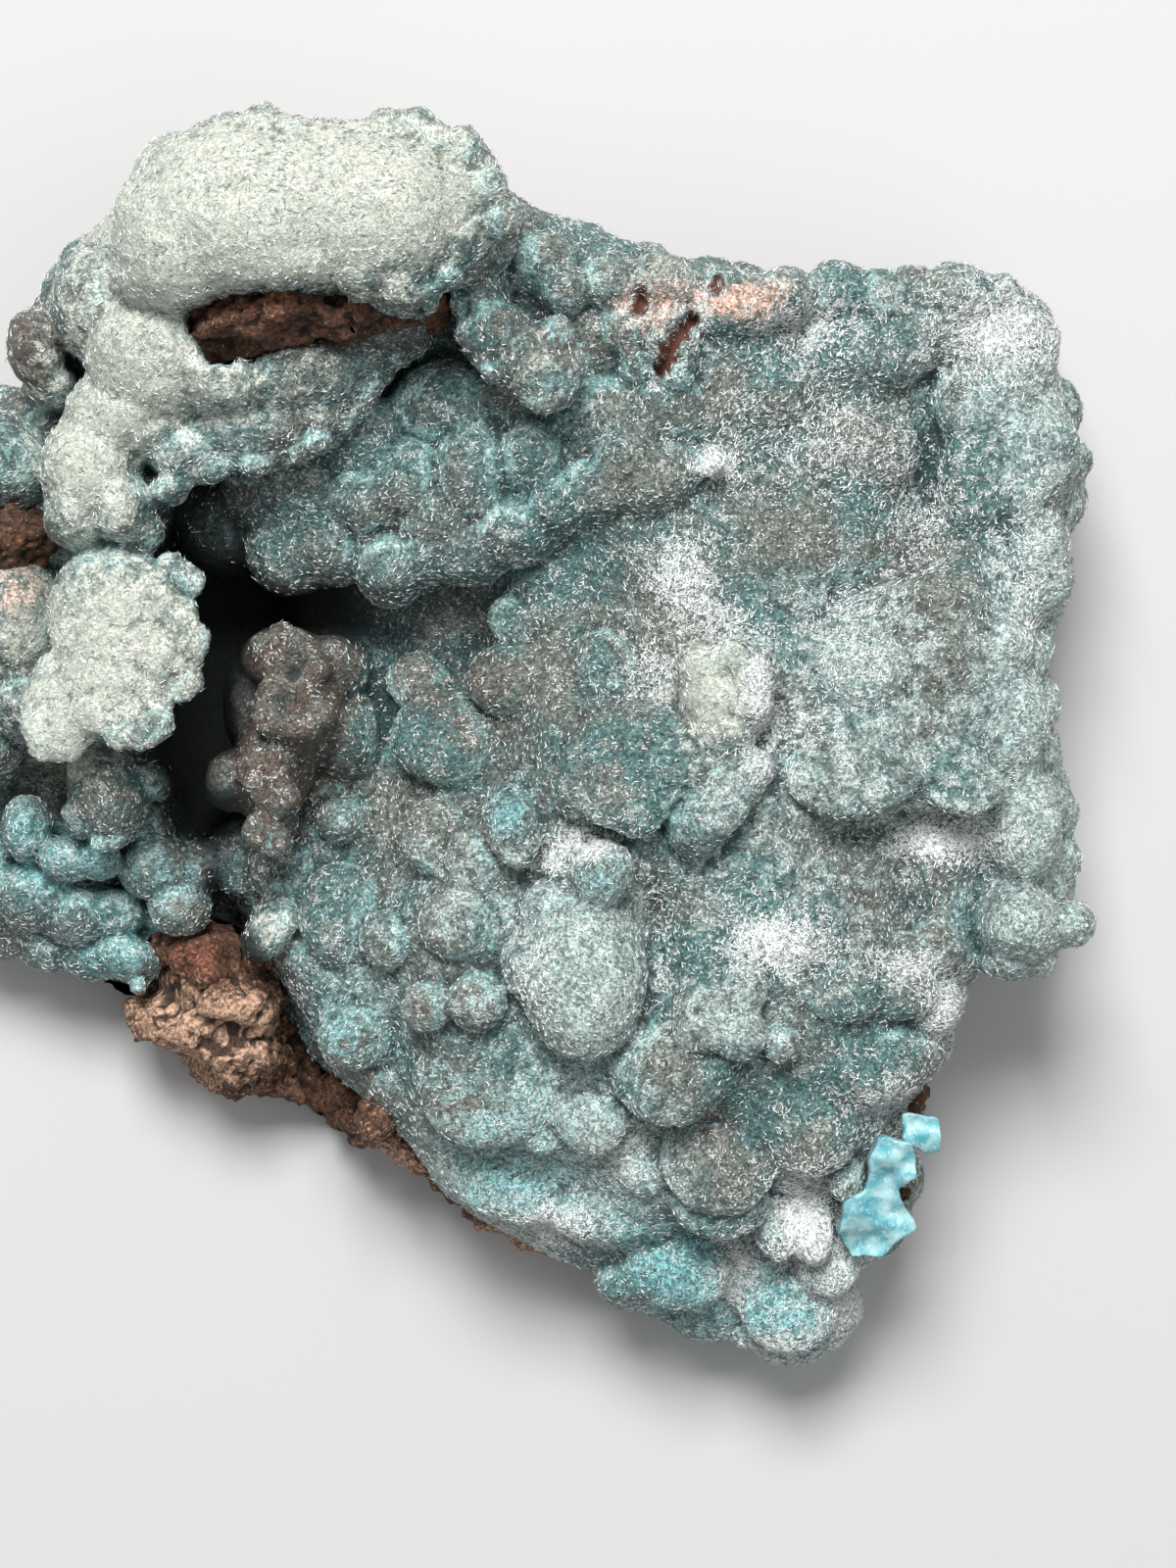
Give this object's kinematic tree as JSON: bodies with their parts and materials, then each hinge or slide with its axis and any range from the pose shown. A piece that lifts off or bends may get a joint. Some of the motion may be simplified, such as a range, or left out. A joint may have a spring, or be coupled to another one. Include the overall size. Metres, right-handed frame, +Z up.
{
  "type": "hemimorphite mineral specimen",
  "caption": "Blue-green botryoidal hemimorphite crust with ledges, lobes and a deep hollow, grown over brown limonite matrix, cut flat underneath",
  "frame": {"origin": "on the flat cut rest face, under the middle of the area that the picture shows", "axes": "+Z up out of the showy face, +Y towards the raised ledge at the back, +X to the right as the specimen is looked at from above with the ledge at the far side"},
  "size_m": [0.078, 0.0808, 0.0416],
  "materials": {
    "brown_limonite": "dull, broken, porous brown rock with rust-red and pale orange lights",
    "blue_green_hemimorphite": "finely crystalline blue-green crust, teal at lobe rims, grey-brown on lobe tops, with white frosted patches"
  },
  "bodies": {
    "root": {"limonite_matrix": "brown_limonite", "hemimorphite_crust": "blue_green_hemimorphite"}
  },
  "joints": []
}
